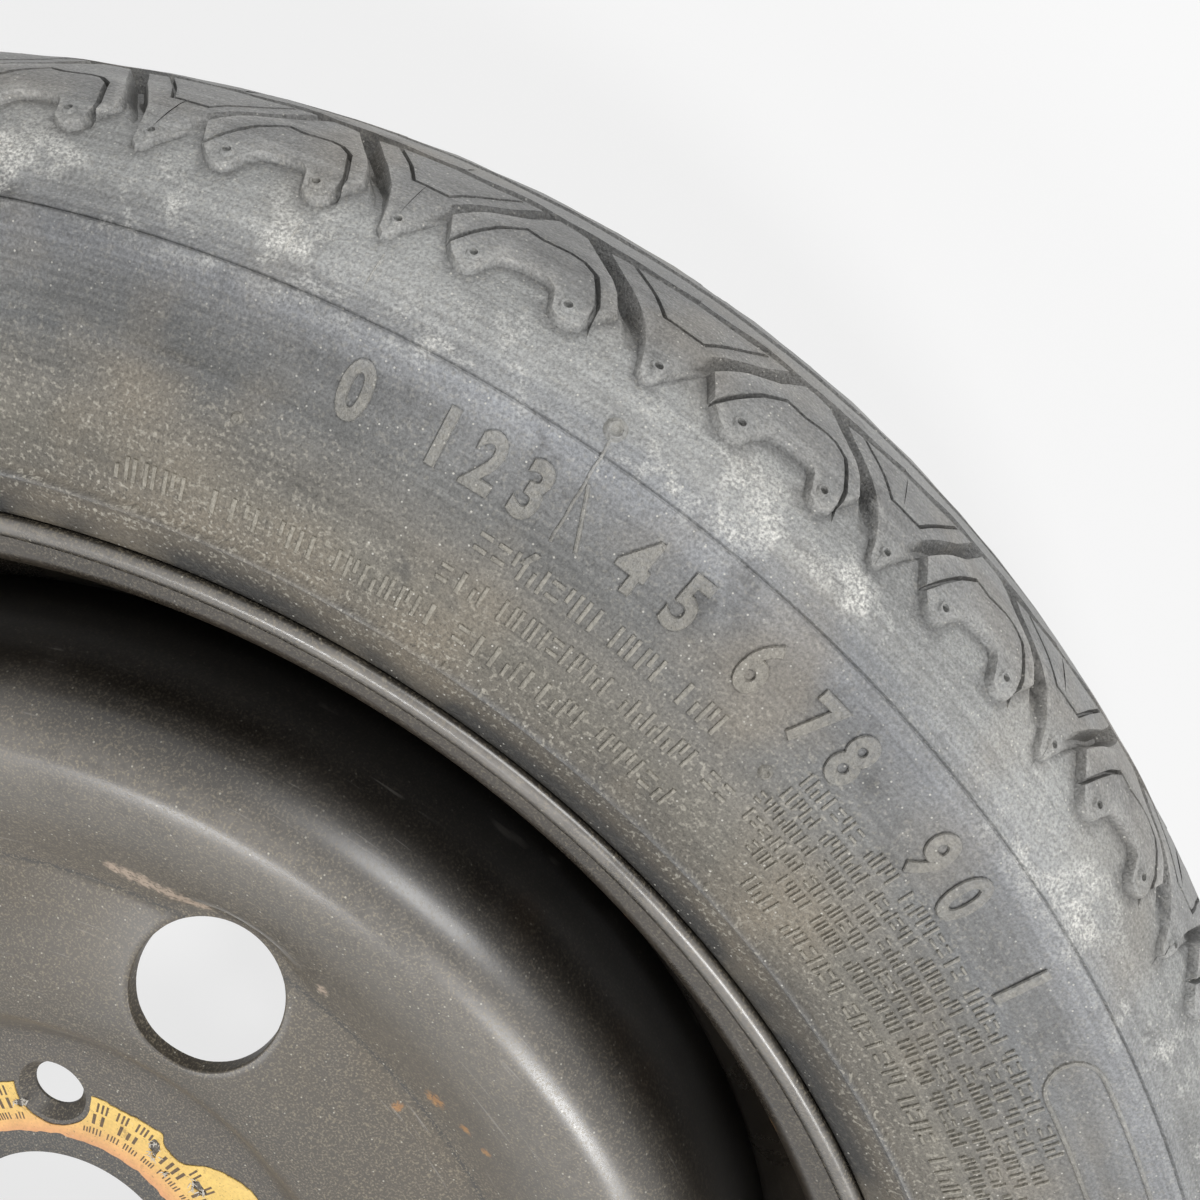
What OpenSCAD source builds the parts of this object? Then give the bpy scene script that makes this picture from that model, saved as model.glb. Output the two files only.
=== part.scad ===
// Space saver spare wheel: a narrow tyre on a pressed steel rim and disc, with its valve.
// Millimetres. The wheel lies flat: Z runs along its axis and the outer side looks up.
// The origin is on the axis, in the flat face of the disc that rests on the hub.

/* [Tyre] */
// Height of the tyre from the bead seat to the tread
tyre_h = 99.7; // [92:0.1:108]
// Distance of a sidewall beyond the flange width of the rim
wall_out = 14.7; // [13.5:0.1:17]
// Thickness of the tread above the cavity
tread_t = 13.5; // [11:0.5:17]
// Width of a groove round the tread
groove_w = 7; // [4:0.5:10]
// Depth of a groove round the tread
groove_t = 5.5; // [3:0.5:7]
// Distance of the outer grooves from the middle of the tread
groove_u = 19; // [16:0.5:22]
// Blocks round each shoulder
pitches = 39; // [33:1:40]
// Width of the narrow slot beside a shoulder block
slot_w = 3.8; // [3:0.1:5]
// Width of the wide slot beside a shoulder block
wide_slot = 6.4; // [4:0.1:7.5]

/* [Rim] */
// Diameter of the bead seats
seat_d = 436.6; // [434:0.2:439]
// Width between the two flanges
rim_w = 101.6; // [98:0.2:106]
// Height of a flange above its bead seat
flange_h = 13; // [11.5:0.1:15]
// Sheet thickness of the rim
rim_t = 2.5; // [2:0.1:3]
// Depth of the drop centre below the bead seats
well_t = 17.3; // [15.5:0.1:19]
// Distance of the hub face from the middle of the rim
offset_z = 29; // [24:0.5:34]

/* [Disc] */
// Sheet thickness of the disc
disc_t = 3.5; // [2.8:0.1:4]
// Radius of the centre bore
bore_r = 32.55; // [28:0.05:36]
// Diameter of the bolt circle
bolt_circle = 110; // [98:1:115]
// Radius of a bolt hole
bolt_r = 7.25; // [6.5:0.05:8]
// Widest radius of a bolt seat
seat_r = 10; // [9.2:0.1:11]
// Vent holes
vents = 5; // [4:1:6]
// Radius of a vent hole across
vent_r = 19; // [15:0.5:21]
// Extra length of a vent hole along the radius
vent_long = 6; // [1:0.5:8]
// Distance of the vent holes from the axis
vent_at = 121.5; // [118:0.5:123]
// Depth of the raised outer ring below the rim's edge
crown_in = 3.4; // [1:0.1:6]

/* [Label] */
// Radius of the opening in the label
label_in = 40.3; // [38:0.1:44]
// Outer radius of the label ring
label_out = 57; // [54:0.5:60]

/* [Valve] */
// Length of the valve outside the rim
valve_len = 33; // [30:0.5:36]
// Foot radius of the rubber body
foot_r = 7.6; // [7:0.1:8.2]

/* [Hidden] */
bolts = 5;
vent_turn = 90;
bolt_turn = 44.8;
block_turn = 81.95;
short_step = 360 / (pitches + 0.2 * ceil(pitches / 8));
mid_z = -offset_z;
half_w = rim_w / 2;
seat_rad = seat_d / 2;
well_r = seat_rad - well_t;
flange_rad = seat_rad + flange_h;
curl_r = 8;
heel_r = 5;
curl_c = flange_rad - curl_r;
curl_u = half_w + curl_r;
tip_u = curl_u + 1.6;
bead_gap = 0.2;
tyre_r = seat_rad + tyre_h;
side_u = half_w + wall_out;
wall_scale = (tyre_r - flange_rad) / 86.7;
slot_foot = 0.78 * PI * tyre_r / pitches;
well_in = well_r - rim_t;
skirt_r = well_in - 0.1;
valve_az = 270;
slope = atan2(6.5, seat_rad - 2.3 - (well_r + 2));
hole_r = (seat_rad - 2.3 + well_r + 2) / 2;
hole_u = half_w - 28.05;
valve_hole = 5.75;
foot_gap = 0.15;
thread_r = 3.85;
stem_top = valve_len;
core_z = stem_top - 33;
crown_z = mid_z + tip_u + 0.8 - crown_in;
cap_top = stem_top + 3.4;
cap_r = 4.9;
$fn = 96;

// Paths run as [radius, height above the middle of the rim].
function flip(p) = [for (i = [len(p) - 1:-1:0]) p[i]];
function mirrored(p) = [for (i = [len(p) - 1:-1:0]) [p[i][0], -p[i][1]]];
function unit(v) = v / norm(v);
function side(a, b) = let (d = unit(b - a)) [d[1], -d[0]];
// Unit step away from a path at its point i, lengthened at a bend to keep the distance.
function step_at(p, i) =
  i == 0 ? side(p[0], p[1])
  : i == len(p) - 1 ? side(p[i - 1], p[i])
  : let (m = unit(side(p[i - 1], p[i]) + side(p[i], p[i + 1]))) m / (m * side(p[i], p[i + 1]));
function beside(p, t) = [for (i = [0:len(p) - 1]) p[i] + t * step_at(p, i)];
function arc(c, r, a0, a1, n) = [for (i = [0:n]) let (a = a0 + (a1 - a0) * i / n) c + r * [cos(a), sin(a)]];

// Tyre side of the rim, from the outer flange tip to the drop centre.
rim_half = concat(
  [[flange_rad, tip_u]],
  arc([curl_c, curl_u], curl_r, 0, -72, 6),
  arc([seat_rad + heel_r, half_w - heel_r], heel_r, 112, 180, 4),
  [[seat_rad - 1.1, half_w - 17.8], [seat_rad - 0.3, half_w - 20.5], [seat_rad - 0.8, half_w - 23],
    [seat_rad - 2.3, half_w - 24.8], [well_r + 2, half_w - 31.3], [well_r, half_w - 33.8]]);
rim_side = concat(rim_half, mirrored(rim_half));
rim_back = beside(rim_side, rim_t);
rim_end = [[flange_rad - 0.7, tip_u + 0.8], [flange_rad - rim_t + 0.7, tip_u + 0.8]];

// Radius at a place between the flange (0) and the tread (86.7).
function wall_at(x) = flange_rad + x * wall_scale;

// Outside of the tyre, from the bead toe over the outer side to the middle of the tread.
bead = concat(
  [[seat_rad - 0.9 + bead_gap, half_w - 16], [seat_rad - 0.3 + bead_gap, half_w - 10]],
  flip(arc([seat_rad + heel_r, half_w - heel_r], heel_r - bead_gap, 112, 180, 4)),
  flip(arc([curl_c, curl_u], curl_r + bead_gap, -25, -72, 4)));
wall = [[flange_rad + 1.4, curl_u - 0.6], [flange_rad + 3, side_u - 5.2], [flange_rad + 8.6, side_u - 1.6],
  [flange_rad + 9.8, side_u - 1.2], [flange_rad + 10.8, side_u + 0.6], [flange_rad + 11.9, side_u + 0.5],
  [flange_rad + 12.6, side_u - 0.7], [wall_at(18), side_u], [wall_at(27), side_u - 0.1],
  [wall_at(38), side_u - 1.3], [wall_at(50), side_u - 3.1], [wall_at(59.1), side_u - 4.9],
  [wall_at(59.1) + 0.6, side_u - 5.8], [wall_at(59.1) + 1.2, side_u - 5.2]];
shoulder = [[wall_at(62.2), side_u - 7.2], [wall_at(66.2), side_u - 9.6], [wall_at(71.2), side_u - 14],
  [wall_at(75.7), side_u - 19.4], [wall_at(79.7), side_u - 26], [wall_at(82.7), side_u - 33]];
function crown_at(u) = tyre_r - 2.2 * pow(u / 30, 2);
function ring_groove(u) = [
  [crown_at(u + groove_w / 2), u + groove_w / 2], [crown_at(u) - groove_t, u + groove_w / 2 - 0.8],
  [crown_at(u) - groove_t, u - groove_w / 2 + 0.8], [crown_at(u - groove_w / 2), u - groove_w / 2]];
half_groove = [[crown_at(groove_w / 2), groove_w / 2], [tyre_r - groove_t, groove_w / 2 - 0.8]];
tyre_half = concat(bead, wall, shoulder, ring_groove(groove_u), half_groove);
inner_half = [[seat_rad - 1 + bead_gap, half_w - 17.5], [seat_rad + 2, half_w - 20],
  [seat_rad + 8, half_w - 13], [seat_rad + 16, half_w - 1.5], [wall_at(13), side_u - 8.5],
  [wall_at(29), side_u - 6.5], [wall_at(48.7), side_u - 9.5], [tyre_r - 11.5 - tread_t, side_u - 17],
  [tyre_r - 3.5 - tread_t, side_u - 28], [tyre_r - tread_t - 1.5, side_u - 44], [tyre_r - tread_t, 0]];

// Outer face of the disc, from the bore to the end of the skirt, heights above the hub face.
dz = crown_z - 28.8;
function mid_r(r) = 71 + (r - 71) * (skirt_r - 110.4) / 88;
disc_face = [[bore_r, disc_t], [71, disc_t], [mid_r(75), disc_t + 0.7], [mid_r(80), 7 + dz * 0.2],
  [mid_r(86), 12 + dz * 0.4], [mid_r(91), 15.6 + dz * 0.5], [mid_r(97), 17.3 + dz * 0.5],
  [mid_r(104), 17.4 + dz * 0.5], [mid_r(119), 16.3 + dz * 0.5], [mid_r(135), 14.8 + dz * 0.5],
  [mid_r(138), 14.7 + dz * 0.5], [mid_r(141.5), 16 + dz * 0.6], [mid_r(150), 20 + dz * 0.8],
  [skirt_r - 39.4, 24.2 + dz], [skirt_r - 31.4, 27.2 + dz], [skirt_r - 23.4, crown_z],
  [skirt_r - 16.9, 27.7 + dz], [skirt_r - 11.4, 24 + dz], [skirt_r - 7.4, 18 + dz], [skirt_r - 4.6, 9 + dz],
  [skirt_r - 2.4, dz - 4], [skirt_r - 0.4, dz - 16], [skirt_r, dz - 21], [skirt_r, mid_z - 15]];
disc_back = beside(disc_face, disc_t);

module at_rim() {
  translate([0, 0, mid_z]) children();
}

module ring_of(count, turn) {
  for (i = [0:count - 1]) rotate([0, 0, turn + i * 360 / count]) children();
}

// Two slots lean towards each other round one arched shoulder block, and open into a groove.
module block_slots() {
  for (way = [-1, 1]) let (w = way > 0 ? wide_slot : slot_w)
    translate([tyre_r - 9, way * slot_foot, 0]) rotate([0, 0, -way * 59])
      translate([0, -w / 2, 0]) cube([26, w, side_u - groove_u + 3]);
}

// The blocks have two lengths: one in eight is longer by a fifth.
function block_at(i) = short_step * (i + 0.2 * (i > 0 ? floor((i - 1) / 8) + 1 : 0));

module shoulder_slots(up) {
  for (i = [0:pitches - 1]) rotate([0, 0, block_turn + block_at(i) + (up > 0 ? 0 : short_step / 2)])
    translate([0, 0, up > 0 ? groove_u : -side_u - 3]) block_slots();
}

module tyre() {
  color([0.12, 0.12, 0.12]) at_rim() difference() {
    rotate_extrude() polygon(concat(tyre_half, mirrored(tyre_half), inner_lower(), flip(inner_half)));
    shoulder_slots(1);
    shoulder_slots(-1);
  }
}
function inner_lower() = [for (i = [0:len(inner_half) - 2]) [inner_half[i][0], -inner_half[i][1]]];

module valve_frame() {
  rotate([0, 0, valve_az]) translate([hole_r, 0, mid_z + hole_u]) rotate([0, -slope, 0]) children();
}

module rim() {
  color([0.05, 0.05, 0.05]) difference() {
    at_rim() rotate_extrude() polygon(concat(
      rim_side,
      mirrored([rim_end[0]]), mirrored([rim_end[1]]),
      flip(rim_back),
      [rim_end[1]], [rim_end[0]]));
    valve_frame() translate([0, 0, -6]) cylinder(r = valve_hole, h = 14);
  }
}

module vent_plan() {
  translate([vent_at - vent_long / 2, 0]) circle(r = vent_r);
  translate([vent_at + vent_long / 2, 0]) circle(r = vent_r);
  translate([vent_at - vent_long / 2, -vent_r]) square([vent_long, 2 * vent_r]);
}

module disc() {
  color([0.07, 0.07, 0.07]) difference() {
    rotate_extrude() polygon(concat(disc_face, flip(disc_back)));
    ring_of(vents, vent_turn) translate([0, 0, 2]) linear_extrude(height = 30) vent_plan();
    ring_of(bolts, bolt_turn) translate([bolt_circle / 2, 0, 0]) {
      translate([0, 0, -5]) cylinder(r = bolt_r, h = 15);
      translate([0, 0, 0.6]) cylinder(r1 = bolt_r, r2 = seat_r, h = disc_t - 0.6);
      translate([0, 0, disc_t - 0.001]) cylinder(r = seat_r, h = 5);
    }
  }
}

// Four weld seams hold the end of the skirt to the drop centre.
module disc_welds() {
  color([0.16, 0.16, 0.16]) for (i = [0:3]) rotate([0, 0, i * 90 + 20]) translate([0, 0, mid_z - 15])
    rotate_extrude(angle = 50)
      polygon([[well_in, 0], [well_in - 3.2, 0], [well_in - 2.4, -2.2], [well_in, -3]]);
}

// Thin paper ring with one wider lobe and a torn notch beside it.
module label() {
  color([0.85, 0.6, 0.2]) translate([0, 0, disc_t]) linear_extrude(height = 0.3) difference() {
    union() {
      circle(r = label_out);
      rotate([0, 0, 50.8]) translate([label_out - 10.5, 0]) circle(r = 20.5);
    }
    circle(r = label_in);
    rotate([0, 0, 76.4]) translate([label_out + 3, 0]) circle(r = 7);
    ring_of(bolts, bolt_turn) translate([bolt_circle / 2, 0]) circle(r = seat_r + 1.5);
  }
}

module valve_body() {
  color([0.08, 0.08, 0.08]) valve_frame() rotate_extrude() polygon([
    [2.9, -9], [5.2, -9], [8.6, -2.6], [8.6, -foot_gap], [valve_hole - 0.05, -foot_gap],
    [valve_hole - 0.05, rim_t + foot_gap], [foot_r, rim_t + foot_gap], [foot_r, rim_t + 3],
    [6.2, rim_t + 8], [4.9, valve_len - 13], [4.3, valve_len - 9.6], [2.9, valve_len - 9.6]]);
}

module valve_stem() {
  color([0.75, 0.6, 0.3]) valve_frame() rotate_extrude() polygon([
    [1.4, -9], [2.9, -9], [2.9, stem_top - 9.6], [3.3, stem_top - 9.6], [thread_r, stem_top - 8.4],
    [thread_r, stem_top - 0.6], [thread_r - 0.6, stem_top], [2.75, stem_top], [2.75, stem_top - 18],
    [1.4, stem_top - 19.4]]);
}

module core_barrel() {
  color([0.8, 0.7, 0.4]) valve_frame() translate([0, 0, core_z]) rotate_extrude() polygon([
    [0.75, 18.5], [2.1, 18.5], [2.1, 22], [2.65, 22], [2.65, 30.5], [1.3, 30.5], [1.3, 20], [0.75, 20]]);
}

module core_seal() {
  color([0.9, 0.9, 0.88]) valve_frame() translate([0, 0, core_z]) rotate_extrude() polygon([
    [2.15, 18.9], [2.65, 19.2], [2.7, 21.6], [2.15, 21.9]]);
}

module core_pin() {
  color([0.8, 0.75, 0.5]) valve_frame() translate([0, 0, core_z]) union() {
    translate([0, 0, 15.4]) cylinder(r = 0.45, h = 16);
    translate([0, 0, 27.6]) cylinder(r = 1.1, h = 0.8);
  }
}

module core_cup() {
  color([0.15, 0.15, 0.15]) valve_frame() translate([0, 0, core_z]) rotate_extrude() polygon([
    [0.5, 16.6], [1.9, 16.6], [1.9, 18.45], [1.2, 18.45], [1.2, 18], [0.5, 18]]);
}

module core_spring() {
  color([0.7, 0.7, 0.7]) valve_frame() translate([0, 0, core_z + 20.1])
    linear_extrude(height = 7.4, twist = -2160, slices = 60, $fn = 8)
      translate([0.85, 0]) circle(r = 0.2);
}

module valve_cap() {
  color([0.06, 0.06, 0.06]) valve_frame() rotate_extrude() polygon([
    [0, cap_top], [cap_r - 1.2, cap_top], [cap_r - 0.2, cap_top - 1], [cap_r, stem_top - 7.6],
    [thread_r + 0.15, stem_top - 7.6], [thread_r + 0.15, stem_top + 1.4], [0, stem_top + 1.4]]);
}

module cap_gasket() {
  color([0.3, 0.05, 0.05]) valve_frame() translate([0, 0, stem_top + 0.3]) difference() {
    cylinder(r = thread_r + 0.05, h = 1);
    translate([0, 0, -1]) cylinder(r = 1.6, h = 3);
  }
}

tyre();
rim();
disc();
disc_welds();
label();
valve_body();
valve_stem();
core_barrel();
core_seal();
core_pin();
core_cup();
core_spring();
valve_cap();
cap_gasket();
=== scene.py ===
"""Dresses the space saver spare wheel: tread, sidewall, painted steel, label and valve."""
import math

import bmesh
import bpy
import numpy as np
from mathutils import Matrix, Vector
from mathutils.geometry import delaunay_2d_cdt


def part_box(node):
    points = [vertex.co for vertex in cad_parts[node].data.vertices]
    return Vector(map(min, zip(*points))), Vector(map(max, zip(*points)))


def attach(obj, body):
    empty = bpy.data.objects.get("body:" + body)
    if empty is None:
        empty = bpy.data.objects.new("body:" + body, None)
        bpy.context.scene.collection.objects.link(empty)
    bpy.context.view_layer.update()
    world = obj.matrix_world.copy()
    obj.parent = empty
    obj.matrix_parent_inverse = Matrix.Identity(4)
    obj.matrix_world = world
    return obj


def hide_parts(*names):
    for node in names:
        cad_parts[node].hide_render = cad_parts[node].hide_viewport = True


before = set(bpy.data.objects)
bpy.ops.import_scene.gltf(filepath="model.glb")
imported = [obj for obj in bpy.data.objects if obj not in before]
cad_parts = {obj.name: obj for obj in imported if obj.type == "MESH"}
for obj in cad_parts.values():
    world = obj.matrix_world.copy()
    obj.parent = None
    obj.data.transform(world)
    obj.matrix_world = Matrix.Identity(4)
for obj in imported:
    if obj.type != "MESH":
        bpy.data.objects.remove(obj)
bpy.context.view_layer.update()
scene = bpy.context.scene
rng = np.random.default_rng(7)
MM = 0.001

# Sizes in millimetres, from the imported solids
tyre_low, tyre_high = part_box("tyre")
rim_low, rim_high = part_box("rim")
TYRE_R = round(tyre_high.y / MM)
MID_Z = (tyre_low.z + tyre_high.z) / 2 / MM
SIDE_U = (tyre_high.z - tyre_low.z) / 2 / MM - 0.6
FLANGE_R = round(rim_high.y / MM, 1)
SEAT_R = FLANGE_R - 13
HALF_RIM = (rim_high.z - rim_low.z) / 2 / MM - 10.4
RIM_T = 2.5
WELL_R = 201
DISC_T = 3.5
BORE_R = 32.55
VENT_AT, VENT_R, VENT_HALF = 121.5, 19, 22
VENT_TURN, BOLT_TURN = 90, 44.8
BOLT_AT, BOLT_R, BOLT_SEAT_R = 55, 7.25, 10
LABEL_IN, LABEL_OUT = 40.3, 57

# Blocks of the tread: angles of their middles and the step to the next one
PITCHES = 39
SHORT_STEP = 360 / (PITCHES + 0.2 * math.ceil(PITCHES / 8))
BLOCK_TURN = 81.95
CELL = 24.75
COLUMNS, COARSE_COLUMNS = 9, 6
FINE, COARSE = 3.6, 9.0
CELL_LOW = 60.0


# Points and meshes
def spline(points, step=0.25):
    """Points along a smooth curve through the given ones, and their distances along it."""
    p = np.array(points, float)
    t = np.concatenate([[0], np.cumsum(np.hypot(*np.diff(p, axis=0).T))])
    m = np.gradient(p, t, axis=0)
    at = np.linspace(0, t[-1], int(t[-1] / step) + 1)
    i = np.clip(np.searchsorted(t, at, side="right") - 1, 0, len(t) - 2)
    d = (t[i + 1] - t[i])[:, None]
    x = ((at - t[i]) / d[:, 0])[:, None]
    q = ((2 * x**3 - 3 * x**2 + 1) * p[i] + (x**3 - 2 * x**2 + x) * d * m[i]
         + (3 * x**2 - 2 * x**3) * p[i + 1] + (x**3 - x**2) * d * m[i + 1])
    s = np.concatenate([[0], np.cumsum(np.hypot(*np.diff(q, axis=0).T))])
    return q, s


def normals(points, s):
    """Unit normals of a smooth curve, on its left side."""
    d = np.gradient(points, s, axis=0)
    return np.stack([-d[:, 1], d[:, 0]], -1) / np.hypot(*d.T)[:, None]


def along(at, s, points):
    """Both coordinates of a curve at distances along it."""
    return np.interp(at, s, points[:, 0]), np.interp(at, s, points[:, 1])


def full_turn(n):
    return np.arange(n) * 2 * math.pi / n


def turned(x, y, theta):
    c, s = math.cos(math.radians(theta)), math.sin(math.radians(theta))
    return x * c - y * s, x * s + y * c


def polar(r, theta):
    return turned(r, 0, theta)


def spin(r, z, theta):
    """Points at radius r and height z, turned by theta degrees."""
    a = np.radians(theta)
    return np.stack(np.broadcast_arrays(r * np.cos(a), r * np.sin(a), z), -1)


def grid_faces(rows, columns, ring=False):
    """Quads between rows of points that run round an axis; a ring goes on from the last row to the first."""
    faces = []
    for i in range(rows if ring else rows - 1):
        for j in range(columns):
            n, k = (i + 1) % rows, (j + 1) % columns
            faces.append((i * columns + j, i * columns + k, n * columns + k, n * columns + j))
    return faces


def flipped(faces):
    return [f[::-1] for f in faces]


def lathe(profile, angles, closed_profile=False):
    """A surface of revolution about Z through [radius, height] points."""
    p = np.array(list(profile) + ([profile[0]] if closed_profile else []), float)
    points = np.concatenate([spin(r, z, angles) for r, z in p])
    return points, grid_faces(len(p), len(angles))


def join(*parts):
    """One list of points and faces from several."""
    points, faces, n = [], [], 0
    for p, f in parts:
        points.append(p)
        faces += [tuple(int(i) + n for i in face) for face in f]
        n += len(p)
    return np.concatenate(points), faces


def piece(name, part, materials, replaced=(), body="wheel", sharp=38, weld=0.004, notes=None):
    """A mesh object that rides on a body and stands for CAD nodes."""
    points, faces = part
    mesh = bpy.data.meshes.new(name)
    mesh.from_pydata((np.asarray(points) * MM).tolist(), [], [tuple(int(i) for i in f) for f in faces])
    for m in materials:
        mesh.materials.append(m)
    for note, values in (notes or {}).items():
        mesh.attributes.new(note, "FLOAT", "POINT").data.foreach_set("value", np.asarray(values, np.float32))
    if weld:
        bm = bmesh.new()
        bm.from_mesh(mesh)
        bmesh.ops.remove_doubles(bm, verts=bm.verts, dist=weld * MM)
        bm.to_mesh(mesh)
        bm.free()
    mesh.validate()
    mesh.polygons.foreach_set("use_smooth", np.ones(len(mesh.polygons), bool))
    mesh.set_sharp_from_angle(angle=math.radians(sharp))
    mesh.update()
    obj = bpy.data.objects.new(name, mesh)
    scene.collection.objects.link(obj)
    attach(obj, body)
    if replaced:
        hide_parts(*replaced)
    return obj


def to_segments(p, line):
    """Distance from each point to a polyline."""
    best = np.full(len(p), 1e9)
    line = np.array(line, float)
    for a, b in zip(line[:-1], line[1:]):
        d = b - a
        t = np.clip(((p - a) @ d) / (d @ d), 0, 1)
        best = np.minimum(best, np.hypot(*(p - a - t[:, None] * d).T))
    return best


def inside(p, ring):
    """Whether each point lies within a closed outline."""
    ring = np.array(ring, float)
    odd = np.zeros(len(p), bool)
    for a, b in zip(ring, np.roll(ring, -1, 0)):
        cross = (a[1] > p[:, 1]) != (b[1] > p[:, 1])
        with np.errstate(divide="ignore", invalid="ignore"):
            x = a[0] + (p[:, 1] - a[1]) / (b[1] - a[1]) * (b[0] - a[0])
        odd ^= cross & (p[:, 0] < x)
    return odd


def clear_of(p, rings):
    """Whether each point lies outside all of the outlines."""
    return ~np.any([inside(p, ring) for ring in rings], 0)


def depth_in(p, ring):
    """Distance to a closed outline, positive inside it."""
    d = to_segments(p, list(ring) + [ring[0]])
    return np.where(inside(p, ring), d, -d)


def rise(x):
    x = np.clip(x, 0, 1)
    return x * x * (3 - 2 * x)


def divided(line, step):
    """A polyline with extra points, at most step apart."""
    out = [np.array(line[0], float)]
    for a, b in zip(line[:-1], line[1:]):
        a, b = np.array(a, float), np.array(b, float)
        n = max(1, int(math.ceil(np.hypot(*(b - a)) / step)))
        out += [a + (b - a) * i / n for i in range(1, n + 1)]
    return np.array(out)


def beside(line, distance):
    """The polyline moved sideways, with lengthened steps at its bends."""
    p = np.array(line, float)
    d = np.diff(p, axis=0)
    n = np.stack([-d[:, 1], d[:, 0]], -1) / np.hypot(*d.T)[:, None]
    m = np.concatenate([n[:1], n[:-1] + n[1:], n[-1:]])
    m /= np.hypot(*m.T)[:, None]
    scale = np.ones(len(p))
    scale[1:-1] = 1 / np.maximum(0.5, np.sum(m[1:-1] * n[:-1], 1))
    return p + distance * m * scale[:, None]


def rounded_loop(line, distance, step=3):
    """Outline at a distance round an open polyline, with slanted ends."""
    left, right = beside(line, distance), beside(line, -distance)[::-1]
    p = np.array(line, float)
    nose = p[-1] + (p[-1] - p[-2]) / np.hypot(*(p[-1] - p[-2])) * distance
    tail = p[0] + (p[0] - p[1]) / np.hypot(*(p[0] - p[1])) * distance
    return divided(np.concatenate([left, [nose], right, [tail], left[:1]]), step)


def circle(x, y, r, n=12):
    a = full_turn(n)
    return np.stack([x + r * np.cos(a), y + r * np.sin(a)], -1)


def triangulate(loops, lines, loose):
    """Triangles over points, closed loops and open lines in a plane."""
    points, edges = [], []
    for path, closed in [(q, True) for q in loops] + [(q, False) for q in lines]:
        n = len(points)
        points += [tuple(q) for q in path]
        edges += [(n + i, n + i + 1) for i in range(len(path) - 1)]
        if closed:
            edges.append((n + len(path) - 1, n))
    points += [tuple(q) for q in loose]
    found = delaunay_2d_cdt([Vector(q) for q in points], edges, [], 0, 1e-5, False)
    return np.array([tuple(v) for v in found[0]]), np.array(found[2], int)


def chosen(points, faces, keep, least=1e-9):
    """The triangles to keep, all facing up, with only the points that they use."""
    a, b, c = (points[faces[:, k]] for k in range(3))
    area = (b[:, 0] - a[:, 0]) * (c[:, 1] - a[:, 1]) - (b[:, 1] - a[:, 1]) * (c[:, 0] - a[:, 0])
    keep = keep & (np.abs(area) > least)
    faces, area = faces[keep], area[keep]
    faces[area < 0] = faces[area < 0][:, ::-1]
    used = np.unique(faces)
    number = np.full(len(points), -1)
    number[used] = np.arange(len(used))
    return points[used], number[faces]


def thick_sheet(top, bottom, faces, cut=lambda point: True):
    """A sheet with its back and with sides along its open edges, except where cut is false."""
    n = len(top)
    edges = {(int(f[i]), int(f[(i + 1) % 3])) for f in faces for i in range(3)}
    sides = [(b, a, a + n, b + n) for a, b in sorted(edges) if (b, a) not in edges and cut(a)]
    return np.concatenate([top, bottom]), [tuple(f) for f in faces] + [tuple(f[::-1] + n) for f in faces] + sides


# Faces of a box from its four upper points and then its four lower ones
BOX = [(0, 1, 2, 3), (0, 4, 5, 1), (1, 5, 6, 2), (2, 6, 7, 3), (3, 7, 4, 0), (7, 6, 5, 4)]


# Camera
CAMERA_AT = (0.019114, 0.337824, 0.200436)
CAMERA_AXES = ((0.852361, 0.497140, -0.162276), (-0.522914, 0.806340, -0.276363), (-0.006541, 0.320417, 0.947254))


def make_camera():
    data = bpy.data.cameras.new("camera")
    data.sensor_width = 36
    data.lens = 30.724
    data.shift_x = 0.0002
    data.shift_y = -0.0668
    data.clip_start = 0.01
    camera = bpy.data.objects.new("camera", data)
    scene.collection.objects.link(camera)
    turn = Matrix(CAMERA_AXES).transposed().to_4x4()
    camera.matrix_world = Matrix.Translation(CAMERA_AT) @ turn
    scene.camera = camera


# Blocks and columns round the tyre
def block_at(i):
    return SHORT_STEP * (i + 0.2 * ((i - 1) // 8 + 1 if i > 0 else 0))


BLOCKS = [BLOCK_TURN + block_at(i) for i in range(PITCHES)]
STEPS = [block_at(i + 1) - block_at(i) for i in range(PITCHES)]


def cell_angle(i, x):
    """Angle of the place x across block i: each half of a block is as long as the step on its side."""
    return BLOCKS[i] + np.where(x > 0, STEPS[i], STEPS[i - 1]) / 2 * x / CELL


def columns(spacing):
    """Places of the columns across a block, and their angles round the whole tyre."""
    x = np.linspace(-CELL, CELL, (COLUMNS if spacing < COARSE else COARSE_COLUMNS) + 1)
    return x, np.concatenate([cell_angle(i, x[:-1]) for i in range(PITCHES)])


# Outline of the tyre's outer half, as [radius, height above the middle]
def crown_at(u):
    return TYRE_R - 2.2 * (u / 30) ** 2


def over_flange(*pairs):
    return [(FLANGE_R + r, SIDE_U + u) for r, u in pairs]


SIDE_CURVE = over_flange((8.6, -1.6), (13, -0.6), (18, 0), (27, -0.1), (38, -1.3), (50, -3.1), (60, -5.2)) + [
    (TYRE_R - 24.5, SIDE_U - 7.2), (TYRE_R - 20.5, SIDE_U - 9.6), (TYRE_R - 15.5, SIDE_U - 14),
    (TYRE_R - 11, SIDE_U - 19.4), (TYRE_R - 7, SIDE_U - 26), (TYRE_R - 4, SIDE_U - 33),
    (crown_at(22.5), 22.5), (crown_at(10), 10), (TYRE_R, 0)]
SIDE, SIDE_S = spline(SIDE_CURVE)
SIDE_S = SIDE_S - np.interp(FLANGE_R + 12.6, SIDE[:, 0], SIDE_S)
SIDE_N = normals(SIDE, SIDE_S)
TOP_S = SIDE_S[-1]


def on_tyre(theta, s, h, up=1):
    """Points at angle theta and distance s along the tyre's outline, raised by h."""
    s = np.clip(s, SIDE_S[0], TOP_S)
    (r, u), (nr, nu) = along(s, SIDE_S, SIDE), along(s, SIDE_S, SIDE_N)
    return spin(r + h * nr, MID_Z + up * (u + h * nu), theta)


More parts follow.
